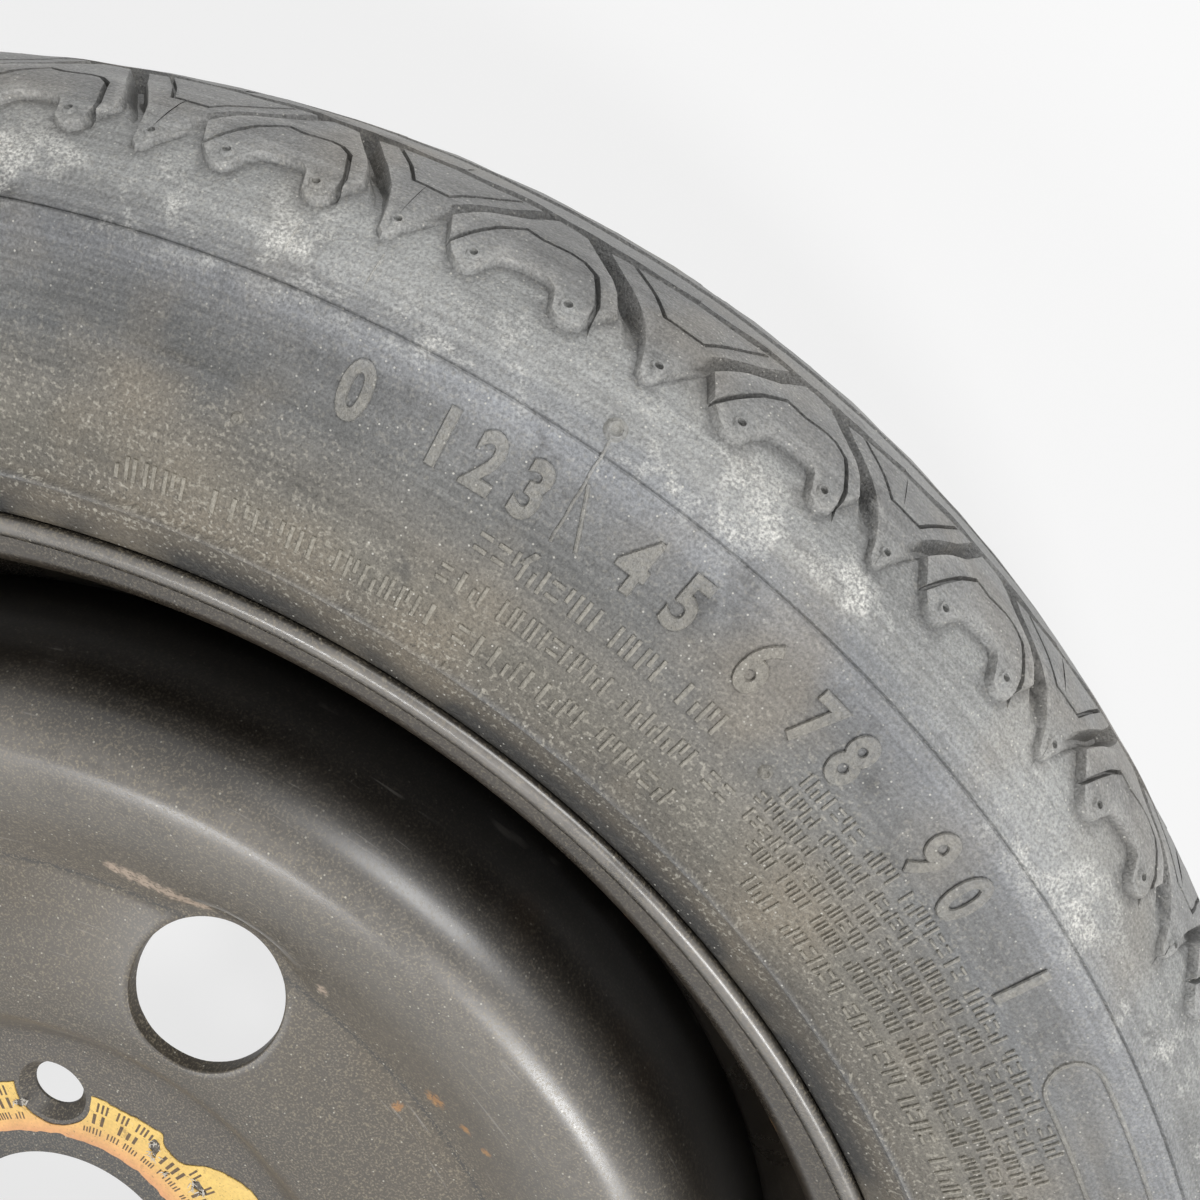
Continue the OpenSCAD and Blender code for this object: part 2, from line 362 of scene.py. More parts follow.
# One block of the tread, in a plane: x across it, s along the outline
ARCH = [(14.4, 68.3), (17.1, 74.7), (12.8, 80.4), (6.3, 87.8), (0.5, 94.2), (-3.2, 94.2), (-7.4, 90.9),
        (-11.1, 83.3), (-14.1, 77.9), (-15.9, 73.2), (-12.9, 68.1), (-12.4, 65.8), (-10.5, 64.4), (-8.5, 64.4),
        (-6.8, 65.6), (-6.2, 67.6), (-5.4, 69.9), (-4.1, 71.1), (-0.2, 71.4), (3.9, 70.5), (6.2, 67.6),
        (6.9, 65.6), (8.5, 64.4), (10.5, 64.4), (12.4, 65.8)]
WEDGE = [(-22, 68.7), (-19.9, 75.1), (-17.2, 78.9), (-14.2, 82), (-10.7, 86.5), (-7.5, 92.5), (-4, 98),
         (-45.5, 98), (-43, 91.5), (-40.3, 86.5), (-37, 82), (-33.5, 77.1), (-29.3, 70.6), (-25.9, 64.2),
         (-24.3, 63.4), (-23, 64.6)]
ARCH_CUT = [(14.1, 68.3), (11.9, 72.1), (8.4, 77.4), (4.4, 82), (0.7, 81.2), (-4.2, 82), (-6.7, 81.5),
            (-9.6, 78.9), (-11.4, 74.6), (-12.6, 71.5), (-12.9, 68.1)]
WEDGE_CUT = [(-12.4, 95.6), (-18.8, 86.3), (-21.9, 80.6), (-29.4, 80.4), (-34.4, 88.6), (-39, 95.6)]
LEFT_SLOT = [(22.5, 67), (18.9, 74.4), (14.8, 80), (11.6, 84.2), (8.4, 88.4), (5.6, 93.3), (3.4, 98)]
RIGHT_SLOT = [(-20.4, 69.2), (-17.9, 75.4), (-15.0, 80), (-12.0, 84.4), (-9.4, 89.0), (-7.0, 93), (-4.6, 98)]
RING_SLOT = [(-24.75, 98.6), (-13.6, 97.6), (-7.4, 96.6), (-1.5, 98.6), (8, 99.4), (17, 98.2), (24.75, 98.6)]
NUBS = [(8.9, 67.9), (-8.9, 67.9), (24.1, 67.7)]
NUB_RINGS = (0.45, 0.8, 1.15, 1.5)


def shifted(line, x):
    return [(a + x, s) for a, s in line]


# Cuts: line, half width at the bottom and at the top, depth; those deeper than SLOT_DEEP fade out on the sidewall
SLOT_DEEP = 3
CUTS = [(LEFT_SLOT, 0.5, 1.8, 4.0), (RIGHT_SLOT, 0.6, 1.9, 4.2), (RING_SLOT, 1.5, 2.6, 4.8),
        (ARCH_CUT, 0.22, 0.5, 1.5), (WEDGE_CUT, 0.2, 0.45, 1.3)]


def off_cut(p, line):
    """Distance to a cut of this block or of the next ones."""
    return np.min([to_segments(p, shifted(line, x)) for x in (-2 * CELL, 0, 2 * CELL)], 0)


def block_height(p):
    """Height of the tread over its outline."""
    s = p[:, 1]
    h = 0.18 * np.sin(p[:, 0] * 0.31 + 1) * np.sin(s * 0.23) * rise((s - CELL_LOW) / 6) * rise((TOP_S - s) / 10)
    arch = depth_in(p, ARCH)
    wedge = np.maximum(depth_in(p, WEDGE), depth_in(p, shifted(WEDGE, 2 * CELL)))
    fade = 1 - rise((s - 76) / 16)
    h += 1.7 * rise((arch + 0.3) / 0.7) * (0.15 + 0.85 * fade)
    h += 1.2 * rise((wedge + 0.35) / 0.8) * (0.1 + 0.9 * fade)
    for line, bottom, top, deep in CUTS:
        start = rise((s - 65) / 20) if deep > SLOT_DEEP else 1
        h -= deep * start * np.clip((top - off_cut(p, line)) / (top - bottom), 0, 1)
    h -= 5.5 * np.clip((s - (TOP_S - 4)) / 0.9, 0, 1)
    for x, y in NUBS + [(x - 2 * CELL, y) for x, y in NUBS]:
        d = np.hypot(p[:, 0] - x, s - y)
        h += 0.55 * rise((1.5 - d) / 0.4) - 1.5 * rise((0.8 - d) / 0.35)
    return h


def tread_cell(spacing):
    """One block as flat points, heights and triangles."""
    side_s = np.linspace(CELL_LOW, TOP_S, int((TOP_S - CELL_LOW) / spacing) + 1)
    low = [(x, CELL_LOW) for x in columns(spacing)[0]]
    top = [(x, TOP_S) for x in columns(spacing)[0]][::-1]
    border = low + [(CELL, s) for s in side_s[1:-1]] + top + [(-CELL, s) for s in side_s[1:-1][::-1]]
    loops, lines = [border], []
    for x in (-2 * CELL, 0, 2 * CELL):
        for line, bottom, wide, _ in CUTS:
            lines += [rounded_loop(shifted(line, x), w, spacing) for w in (bottom, wide)]
        for ring in (ARCH, WEDGE):
            for w in (-0.3, 0.4):
                ring_line = shifted(ring + ring[:1], x)
                lines.append(divided(beside(ring_line, w), spacing))
        for a, s in NUBS:
            loops += [circle(a + x, s, r) for r in NUB_RINGS]
    for s in (TOP_S - 4, TOP_S - 3.1):
        lines.append(divided([(-CELL, s), (CELL, s)], spacing))
    xs = np.arange(-CELL + spacing / 2, CELL, spacing)
    rows = enumerate(np.arange(CELL_LOW + spacing / 2, TOP_S, spacing * 0.9))
    loose = [(x, s) for i, s in rows for x in xs + i % 2 * spacing / 2 if abs(x) < CELL - 0.4]
    points, faces = triangulate(loops, lines, loose)
    middle = points[faces].mean(1)
    within = (np.abs(middle[:, 0]) < CELL) & (middle[:, 1] > CELL_LOW) & (middle[:, 1] < TOP_S)
    points, faces = chosen(points, faces, within, 1e-7)
    return points, block_height(points), faces


CELLS = {}


def tread_notes(spacing, count):
    """How much painted shade each point of a tyre half gets in a cut or at a block's foot, and how near the lighter
    band inside a block edge it lies; 0 off the tread.
    """
    points, height, _ = CELLS[spacing]
    s = points[:, 1]
    hollow, worn = np.zeros(len(points)), np.zeros(len(points))
    # Painted shade in the cuts: the deep ones darken less towards the sidewall.
    for line, bottom, top, deep in CUTS:
        dark = 0.8 * (0.35 + 0.65 * rise((s - 66) / 18)) if deep > SLOT_DEEP else 0.9
        hollow = np.maximum(hollow, dark * rise((top + 0.2 - off_cut(points, line)) / (top - bottom + 0.2)))
    # Painted shade at the foot of each block's edge, and a lighter band just inside it that is partly wear and
    # partly painted highlight.
    for ring in (ARCH, WEDGE, shifted(WEDGE, 2 * CELL)):
        deep = depth_in(points, ring)
        worn = np.maximum(worn, rise(1 - np.abs(deep - 0.8) / 1.3))
        hollow = np.maximum(hollow, 0.8 * rise(1 - np.abs(deep + 0.3) / 0.5) * (1 - rise((s - 82) / 8)))
    worn *= 1 - rise((s - 80) / 12)
    out = {"hollow": np.tile(hollow, PITCHES), "worn": np.tile(worn * (1 - hollow), PITCHES)}
    return {key: np.concatenate([v, np.zeros(count - len(v))]) for key, v in out.items()}


def tread(spacing, up, turn=0):
    points, height, faces = CELLS.setdefault(spacing, tread_cell(spacing))
    parts = []
    for i in range(PITCHES):
        theta = cell_angle(i, points[:, 0]) + turn
        parts.append((on_tyre(theta, points[:, 1], height, up), faces if up < 0 else faces[:, ::-1]))
    return join(*parts)


# The rest of the tyre: bead, sidewall and cavity
def arc(x, y, r, first, last, count):
    a = np.radians(np.linspace(first, last, count))
    return list(zip(x + r * np.cos(a), y + r * np.sin(a)))


BEAD = ([(SEAT_R - 0.7, HALF_RIM - 16), (SEAT_R - 0.1, HALF_RIM - 10)]
        + arc(SEAT_R + 5, HALF_RIM - 5, 4.8, 180, 112, 5) + arc(FLANGE_R - 8, HALF_RIM + 8, 8.2, -72, -25, 6))
BEAD_RIDGE = over_flange((0.35, -7.4), (0.35, -6.2), (0.8, -5.5), (1.7, -5.0), (3, -4.3), (4.6, -3.4), (6.6, -2.5),
                         (8.4, -1.85), (9.4, -1.5), (10, -1.0), (10.35, 0), (10.7, 0.45), (11.3, 0.5), (11.8, 0.1),
                         (12.2, -0.45), (12.9, -0.7))
WALL_ROWS = [(s, 0) for s in np.arange(2, 46, 2.75)] + [
    (46.7, 0), (47.3, 0.1), (47.55, -0.55), (47.95, -0.55), (48.2, 0.1), (49, 0.05), (51, 0), (54, 0), (57, 0),
    (CELL_LOW, 0)]
CAVITY = [(SEAT_R - 0.8, HALF_RIM - 17.5), (SEAT_R + 2, HALF_RIM - 20), (SEAT_R + 8, HALF_RIM - 13),
          (SEAT_R + 16, HALF_RIM - 1.5), (SEAT_R + 26, SIDE_U - 8.5), (SEAT_R + 42, SIDE_U - 6.5),
          (TYRE_R - 38, SIDE_U - 9.5), (TYRE_R - 25, SIDE_U - 17), (TYRE_R - 17, SIDE_U - 28),
          (TYRE_R - 15, SIDE_U - 44), (TYRE_R - 13.5, 0)]


def wall_row(s, h):
    (r, u), (nr, nu) = along(s, SIDE_S, SIDE), along(s, SIDE_S, SIDE_N)
    return r + h * nr, u + h * nu


def tyre_half(spacing, up, turn=0):
    """Tread, sidewall, bead and cavity of one side."""
    rows = CAVITY[::-1] + BEAD + BEAD_RIDGE + [wall_row(s, h) for s, h in WALL_ROWS]
    if spacing >= COARSE:
        rows = rows[:-1:2] + rows[-1:]
    points, faces = lathe([(r, MID_Z + up * u) for r, u in rows], columns(spacing)[1] + turn)
    return join(tread(spacing, up, turn), (points, faces if up > 0 else flipped(faces)))


# Raised marks on the sidewall
DIGIT_S, DIGIT_TALL = 36.0, 10.4
DIGITS = [(95.6, "0"), (92.1, "1"), (90.3, "2"), (88.4, "3"), (83.9, "4"), (81.6, "5"), (78.2, "6"),
          (75.3, "7"), (73.3, "8"), (68.5, "9"), (66.4, "0"), (62.1, "1")]


def flat_text(text, outline):
    """One numeral as a flat filled shape or as a thin tube round it, about one unit tall."""
    data = bpy.data.curves.new("numeral", "FONT")
    data.body = text
    data.align_x = "CENTER"
    data.resolution_u = 5
    data.fill_mode = "NONE" if outline else "FRONT"
    data.offset = 0.012
    if outline:
        data.bevel_depth = 0.028
        data.bevel_resolution = 1
    obj = bpy.data.objects.new("numeral", data)
    scene.collection.objects.link(obj)
    bpy.context.view_layer.update()
    mesh = obj.evaluated_get(bpy.context.evaluated_depsgraph_get()).to_mesh()
    points = np.array([tuple(v.co) for v in mesh.vertices])
    faces = [tuple(f.vertices) for f in mesh.polygons]
    bpy.data.objects.remove(obj)
    bpy.data.curves.remove(data)
    return points, faces


def wall_r(s):
    """Radius at distance s along the tyre's outline."""
    return float(along(s, SIDE_S, SIDE)[0])


def upright(points, theta, s, tall, wide, lift=0.0, high=1.0):
    """Bends flat shapes, standing away from the axis, onto the sidewall."""
    r = wall_r(s)
    angle = theta - np.degrees(points[:, 0] * wide / r)
    return on_tyre(angle, s + points[:, 1] * tall, lift + points[:, 2] * high)


def numerals():
    parts = []
    for theta, text in DIGITS:
        for outline in (False, True):
            points, faces = flat_text(text, outline)
            points[:, 1] -= 0.34
            tall = DIGIT_TALL / 0.7
            lift, high = (0.3, 13) if outline else (0.6, 1)
            parts.append((upright(points, theta, DIGIT_S, tall, tall * 0.8, lift, high), faces))
    return join(*parts)


def stroke(theta, s, wide, tall, high=0.42, lean=0.0):
    """A low bar with sloping sides, wide round the axis and tall away from it."""
    edge = min(wide, tall) * 0.28
    flat = []
    for shrink, z in ((0, -0.15), (0, high * 0.6), (edge, high)):
        x, y = wide / 2 - shrink, tall / 2 - shrink
        flat += [(-x - lean * y, -y, z), (x - lean * y, -y, z), (x + lean * y, y, z), (-x + lean * y, y, z)]
    points = upright(np.array(flat), theta, s, 1, 1)
    return points, flipped(grid_faces(3, 4) + [(8, 9, 10, 11)])


def bar_sign(kind, theta, s, tall):
    """One small group of plain bars."""
    w, t = tall * 0.5, tall * 0.17
    half, third = (math.degrees(w / part / wall_r(s)) for part in (2, 3))
    if kind == 0:
        return [stroke(theta, s, t * 1.2, tall)]
    if kind == 1:
        return [stroke(theta + turn, s, t, tall) for turn in (half, -half)]
    if kind == 2:
        return [stroke(theta - half, s, t, tall), stroke(theta + third, s - tall * 0.2, t, tall * 0.6)]
    if kind == 3:
        return [stroke(theta, s + y, w * 1.1, t) for y in (-tall * 0.3, tall * 0.3)]
    return [stroke(theta + half, s + tall * 0.2, t, tall * 0.6), stroke(theta - third, s, t, tall)]


# Rows of small signs: first and last angle, distance along the outline, height of a sign
SIGN_ROWS = [(88.9, 77.4, 23.4, 4.6), (89.6, 75.2, 15.0, 4.2), (93.4, 76.4, 6.6, 4.4), (103.5, 94.6, 6.4, 4.6),
             (73.6, 54.0, 27.6, 3.2), (73.9, 53.4, 23.3, 2.9), (74.4, 52.6, 19.4, 2.7), (74.2, 52.2, 15.6, 2.7),
             (73.0, 51.8, 11.9, 2.7), (71.6, 51.4, 6.6, 3.6)]


def sign_rows():
    parts = []
    for first, last, s, tall in SIGN_ROWS:
        theta, left = first, int(rng.integers(3, 8))
        r = wall_r(s)
        while theta > last:
            parts += bar_sign(int(rng.integers(0, 5)), theta, s, tall)
            theta -= math.degrees(tall * 0.82 / r)
            left -= 1
            if left == 0:
                theta -= math.degrees(tall * 0.7 / r)
                left = int(rng.integers(3, 9))
    return join(*parts)


def tube(line, radius, sides=8, closed=False):
    """A round bar along [angle, distance] points of the sidewall, half sunk in it."""
    at = np.array([on_tyre(t, s, 0.0) for t, s in line])
    d = np.gradient(at, axis=0)
    if closed:
        d = np.roll(at, -1, 0) - np.roll(at, 1, 0)
    d /= np.linalg.norm(d, axis=1)[:, None]
    up = np.array([on_tyre(t, s, 1.0) for t, s in line]) - at
    cross = np.cross(d, up)
    a = full_turn(sides)[:, None]
    points = (at[:, None] + radius * (np.cos(a) * cross[:, None] + np.sin(a) * up[:, None])).reshape(-1, 3)
    rows = len(at)
    faces = grid_faces(rows, sides, closed)
    if not closed:
        faces += [tuple(range(sides))[::-1], tuple((rows - 1) * sides + j for j in range(sides))]
    return points, faces


def stub(theta, s, radius, high, hollow=True):
    """A moulded pip: a small worn dome with a pit in its middle."""
    pit = high * (0.25 if hollow else 1.1)
    rings = [(radius * 1.25, -0.1), (radius, high * 0.7), (radius * 0.75, high), (radius * 0.4, pit)]
    n = 14
    r = wall_r(s)
    a = full_turn(n)
    points = [on_tyre(theta - np.degrees(q * np.cos(a) / r), s + q * np.sin(a), z) for q, z in rings]
    points.append(on_tyre(np.array([theta]), s, high * (0.1 if hollow else 1.2)))
    top = (len(rings) - 1) * n
    cap = [(top + n, top + j, top + (j + 1) % n) for j in range(n)]
    return np.concatenate(points), grid_faces(len(rings), n) + cap


STADIUM = (58.2, 43.0, 30.2, 41.6)


def stadium():
    """A bare raised frame with round ends."""
    first, last, low, high = STADIUM
    half = (high - low) / 2
    r = wall_r((low + high) / 2)
    reach = math.degrees(half / r)
    a = np.radians(np.linspace(-90, 90, 11))
    left = [(first - reach + reach * math.cos(x), (low + high) / 2 + half * math.sin(x)) for x in a]
    right = [(last + reach - reach * math.cos(x), (low + high) / 2 - half * math.sin(x)) for x in a]
    top = [(first - reach + (last - first + 2 * reach) * i / 12, high) for i in range(1, 12)]
    low_side = [(last + reach - (last - first + 2 * reach) * i / 12, low) for i in range(1, 12)]
    return tube(left + top + right + low_side, 0.5, closed=True)


RIDGE_STUBS = [102.6 - 15 * i for i in range(24)]


def moulded_marks():
    parts = [stadium(), stub(87.19, 53.1, 1.9, 0.9), stub(99.36, 22.7, 1.0, 0.5), stub(75.05, 23.1, 1.2, 0.6)]
    parts.append(tube([(87.15 - 0.02 * i + 0.02 * math.sin(i * 1.7), 52.4 - 1.7 * i) for i in range(14)], 0.33))
    parts.append(tube([(86.9 - 0.14 * i, 42.4 - 1.6 * i) for i in range(8)][::-1], 0.42))
    parts.append(stroke(87.1, 25.6, 1.2, 3.0, 0.5, 0.5))
    for theta in (99.9, 96.9):
        parts.append(tube([(theta, s) for s in np.arange(53, 62, 1.5)], 0.16))
    for theta in RIDGE_STUBS:
        parts.append(stub(theta, -0.9, 0.75, 1.25, False))
    return join(*parts)


# Rim
def rim_shell():
    """Rolled sheet with a rounded rim edge, bead seats and a drop centre."""
    curl_r, curl_u = FLANGE_R - 8, HALF_RIM + 8
    tip = curl_u + 1.6
    face = ([(FLANGE_R, tip - 0.6)] + arc(curl_r, curl_u, 8, 0, -72, 16)
            + arc(SEAT_R + 5, HALF_RIM - 5, 5, 112, 180, 8)
            + [(SEAT_R - 1.1, HALF_RIM - 17.8), (SEAT_R - 0.3, HALF_RIM - 20.5), (SEAT_R - 0.8, HALF_RIM - 23),
               (SEAT_R - 2.3, 26), (WELL_R + 2, 19.5), (WELL_R + 0.4, 17.6), (WELL_R, 16)])
    whole = face + [(r, -u) for r, u in face[::-1]]
    back = beside(whole, -RIM_T)[::-1][5:-5]
    nose = [(FLANGE_R - x, tip + u) for x, u in (
        (4.1, -2.6), (4.6, -1.9), (4.75, -1.15), (4.5, -0.75), (4.1, -0.4), (3.4, 0.15), (2.6, 0.55), (1.8, 0.72),
        (1.1, 0.65), (0.55, 0.4), (0.15, 0), (0, -0.3))]
    low_nose = [(r, -u) for r, u in nose[::-1]]
    loop = whole + low_nose + [tuple(q) for q in back] + nose
    angles = np.arange(480) * 0.75
    points, faces = lathe([(r, MID_Z + u) for r, u in loop], angles, True)
    return points, flipped(faces)


# Disc
DISC_CURVE = [(71, 3.5), (75, 4.2), (80, 7), (86, 12), (91, 15.6), (97, 17.3), (104, 17.4), (112, 16.9), (119, 16.3),
              (127, 15.5), (135, 14.8), (138, 14.7), (141.5, 16), (150, 20), (159, 24.2), (167, 27.2), (171, 28.3),
              (175, 28.8), (178.5, 28.7), (181.5, 27.7), (184.5, 26.2), (187, 24), (191, 18), (193.8, 9), (196, -4),
              (WELL_R - 3, -16), (WELL_R - 2.6, -21), (WELL_R - 2.6, MID_Z - 15)]
SHEET, SHEET_S = spline([(50, 3.5), (60, 3.5), (67, 3.5)] + DISC_CURVE)
SHEET_N = normals(SHEET, SHEET_S)
PLATE_OUT, PLATE_STEPS = 186.0, 360
ROUNDING = 0.5
CREASE_R, CREASE_Z, FLAT_SLOPE = 138, 14.7, 0.05


def sheet_at(r):
    """Height and normal of the disc's outer face at radius r, inside PLATE_OUT."""
    n = int(np.searchsorted(SHEET[:, 0], PLATE_OUT)) + 4
    z = np.interp(r, SHEET[:n, 0], SHEET[:n, 1])
    nr, nz = (np.interp(r, SHEET[:n, 0], SHEET_N[:n, k]) for k in (0, 1))
    return z, nr, nz


def vent_loop(grow, turn, n=72):
    """Oval hole grown by a margin, turned to its place."""
    a = full_turn(n)
    x, y = (VENT_HALF + grow) * np.cos(a), (VENT_R + grow) * np.sin(a)
    return np.stack(turned(VENT_AT + x, y, turn), -1)


def around(r, at, turn, n=48):
    return circle(*polar(at, turn), r, n)


VENTS = [VENT_TURN + 72 * i for i in range(5)]
BOLTS = [BOLT_TURN + 72 * i for i in range(5)]
EDGE_STEPS = (0, 0.08, 0.22, 0.5, 2.4)
BOLT_RINGS = (BOLT_R, (BOLT_R + BOLT_SEAT_R) / 2, BOLT_SEAT_R, BOLT_SEAT_R + 0.4)


def off_vents(p):
    """Distance from the nearest vent's edge."""
    nearest = np.full(len(p), 1e9)
    for turn in VENTS:
        x, y = turned(*p.T, -turn)
        x = x - VENT_AT
        size = np.hypot(x / VENT_HALF, y / VENT_R)
        nearest = np.minimum(nearest, (size - 1) * size / np.hypot(x / VENT_HALF**2, y / VENT_R**2))
    return nearest


def plate_drop(p):
    """How far the rounded edges and the bolt seats lie under the outer face."""
    def fall(d):
        d = np.clip(d, 0, ROUNDING)
        return ROUNDING - np.sqrt(ROUNDING**2 - (ROUNDING - d) ** 2)
    drop = np.maximum(fall(np.hypot(p[:, 0], p[:, 1]) - BORE_R), fall(off_vents(p)))
    for turn in BOLTS:
        d = np.hypot(*(p - polar(BOLT_AT, turn)).T)
        seat = np.clip((BOLT_SEAT_R - d) / (BOLT_SEAT_R - BOLT_R), 0, 1)
        drop = np.maximum(drop, seat * (DISC_T - 0.6))
    return drop


def disc_plate():
    loops = [circle(0, 0, BORE_R + step, 160) for step in EDGE_STEPS[:4]]
    holes = []
    for rings in ([[vent_loop(g, turn) for g in EDGE_STEPS] for turn in VENTS]
                  + [[around(r, BOLT_AT, turn) for r in BOLT_RINGS] for turn in BOLTS]):
        loops += rings
        holes.append(rings[0])
    loops.append(circle(0, 0, PLATE_OUT, PLATE_STEPS))
    loose = []
    r = BORE_R + 3
    while r < PLATE_OUT - 1:
        n = int(max(60, 2 * math.pi * r / 3.4))
        loose += list(circle(0, 0, r, n))
        r += 3 if r < 68 or 105 < r < 134 else 1.7
    margins = [vent_loop(3.6, turn) for turn in VENTS] + [around(BOLT_SEAT_R + 1.2, BOLT_AT, turn) for turn in BOLTS]
    loose = np.array(loose)
    points, faces = triangulate(loops, [], loose[clear_of(loose, margins)])
    middle = points[faces].mean(1)
    r = np.hypot(*middle.T)
    return chosen(points, faces, (r > BORE_R * 0.9996) & (r < PLATE_OUT) & clear_of(middle, holes))


def disc_shell():
    """The pressed disc: plate with its holes, raised ring and skirt, both faces and all edges."""
    flat, faces = disc_plate()
    r = np.hypot(*flat.T)
    z, nr, nz = sheet_at(r)
    flat_z = CREASE_Z - FLAT_SLOPE * (r - CREASE_R)
    by_vent = np.where(r > CREASE_R - 2, 1 - rise(off_vents(flat) / 9), 0)
    z = z + by_vent * np.minimum(flat_z - z, 0)
    nr, nz = nr + by_vent * (FLAT_SLOPE - nr), nz + by_vent * (1 - nz)
    drop = plate_drop(flat)
    unit = flat / r[:, None]

    def at(depth):
        return np.column_stack([flat + unit * (-depth * nr)[:, None], z - depth * nz])

    low = np.maximum(np.full(len(flat), DISC_T), drop + 0.3)
    plate = thick_sheet(at(drop), at(low), faces, lambda a: r[a] < PLATE_OUT - 0.01)
    first = int(np.searchsorted(SHEET[:, 0], PLATE_OUT))
    end = SHEET_S[-1]
    steps = np.concatenate([np.arange(SHEET_S[first], end - 40, 1.1), np.linspace(end - 38, end, 14)])
    (pr, pz), (qr, qz) = along(steps, SHEET_S, SHEET), along(steps, SHEET_S, SHEET_N)
    z0, nr0, nz0 = sheet_at(np.array([PLATE_OUT]))
    pr[0], pz[0], qr[0], qz[0] = PLATE_OUT, z0[0], nr0[0], nz0[0]
    outside = list(zip(pr, pz))
    within = list(zip(pr - DISC_T * qr, pz - DISC_T * qz))[::-1]
    points, faces = lathe(outside + within, np.arange(PLATE_STEPS) * 360 / PLATE_STEPS)
    return join(plate, (points, flipped(faces)))


# Label
LOBE_AT, LOBE_TURN, LOBE_R = 46.5, 50.8, 20.5
NOTCH_AT, NOTCH_TURN, NOTCH_R = 60, 76.4, 7


def ragged(loop, much, seed, step=0.8):
    """A closed outline with small torn-paper irregularities."""
    p = divided(list(map(tuple, loop)) + [tuple(loop[0])], step)[:-1]
    n = len(p)
    local = np.random.default_rng(seed)
    noise = np.zeros(n)
    for wave, size in ((n / 40, 0.6), (n / 14, 0.5), (n / 5, 0.35), (n / 2.5, 0.3)):
        k = max(3, int(wave))
        knots = local.normal(0, size, k)
        at = np.arange(n) / n * k
        i = at.astype(int) % k
        f = rise(at - np.floor(at))
        noise += knots[i] * (1 - f) + knots[(i + 1) % k] * f
    d = np.roll(p, -1, 0) - np.roll(p, 1, 0)
    side = np.stack([d[:, 1], -d[:, 0]], -1) / np.hypot(*d.T)[:, None]
    return p + side * (noise * much)[:, None]


def label_outline():
    """Ring of paper with one round lobe and one round notch in its edge."""
    out = []
    for theta in np.arange(0, 360, 0.6):
        reach = LABEL_OUT
        for at, turn, radius, way in ((LOBE_AT, LOBE_TURN, LOBE_R, 1), (NOTCH_AT, NOTCH_TURN, NOTCH_R, -1)):
            along = at * math.cos(math.radians(theta - turn))
            gap = radius**2 - (at**2 - along**2)
            if gap > 0 and along > 0:
                reach = way * max(way * reach, way * along + math.sqrt(gap))
        out.append(polar(reach, theta))
    return np.array(out)


# Torn-out spots: x, y, half length, half width, turn
TEARS = [(7.2, 50.6, 3.3, 1.3, -70), (22.8, 46.8, 2.6, 1.5, -25), (13.4, 45.2, 0.9, 0.6, 10),
         (-31, 39.5, 2.2, 0.9, 40), (42, -27, 3, 1.2, 100), (-12, -50, 2.4, 1.0, 5)]
# Rows of print: radius, height and width of a bar
PRINT_ROWS = [(54.2, 3.2, 0.62), (49.9, 3.6, 0.95), (45.6, 2.3, 0.42)]
PRINT_FROM, PRINT_TO = 58, -300


def paper_z(x, y):
    """Height of the slightly wavy paper's face."""
    return DISC_T + 0.26 + 0.05 * np.sin(x * 0.35) * np.sin(y * 0.3 + 1)


def tear(x, y, a, b, turn):
    k = full_turn(28)
    return np.stack(turned(a * np.cos(k), b * np.sin(k) * (1 + 0.3 * np.cos(3 * k)), turn), -1) + (x, y)


def label_sheet():
    """Paper ring with torn edges and bare patches."""
    outer = ragged(label_outline(), 0.45, 3)
    inner = ragged(circle(0, 0, LABEL_IN, 200), 0.5, 5)
    r = np.arange(LABEL_IN + 1.2, LABEL_OUT + 12, 1.3)
    loose = np.concatenate([circle(0, 0, q, int(2 * math.pi * q / 1.3)) for q in r])
    loose = loose[inside(loose, outer) & ~inside(loose, inner)]
    loose = loose[to_segments(loose, list(outer) + [outer[0]]) > 0.5]
    holes = [ragged(around(BOLT_SEAT_R + 1.5, BOLT_AT, t, 40), 0.25, 11 + i) for i, t in enumerate(BOLTS)]
    holes += [ragged(tear(*q), 0.35, 31 + i, 0.5) for i, q in enumerate(TEARS)]
    points, faces = triangulate([outer, inner] + holes, [], loose[clear_of(loose, holes)])
    middle = points[faces].mean(1)
    points, faces = chosen(points, faces, inside(middle, outer) & clear_of(middle, [inner] + holes))
    top = np.column_stack([points, paper_z(*points.T)])
    bottom = np.column_stack([points, np.full(len(points), DISC_T + 0.02)])
    return thick_sheet(top, bottom, faces)


def label_print():
    """Rows of plain dark bars in place of print."""
    local = np.random.default_rng(19)
    parts = []
    tears = [tear(*q) for q in TEARS]
    outline = label_outline()
    for row, tall, wide in PRINT_ROWS:
        theta = PRINT_FROM
        while theta > PRINT_TO:
            run = int(local.integers(3, 9))
            for _ in range(run):
                half = math.degrees(wide / 2 / row)
                top = tall / 2 * (1 if local.random() < 0.7 else 0.55)
                quad = np.array([polar(row - tall / 2, theta + half), polar(row - tall / 2, theta - half),
                                 polar(row + top, theta - half), polar(row + top, theta + half)])
                mid = quad.mean(0)[None]
                clear = all(depth_in(mid, b)[0] < -0.9 for b in tears) and depth_in(mid, outline)[0] > 2.1
                clear = clear and all(np.hypot(*(mid[0] - polar(BOLT_AT, q))) > BOLT_SEAT_R + 3.6 for q in BOLTS)
                if clear:
                    parts.append(([(x, y, paper_z(x, y) + z) for z in (0.04, 0.01) for x, y in quad], BOX))
                theta -= math.degrees(wide * local.uniform(1.9, 2.8) / row)
            theta -= math.degrees(wide * 3.2 / row)
    return join(*parts)


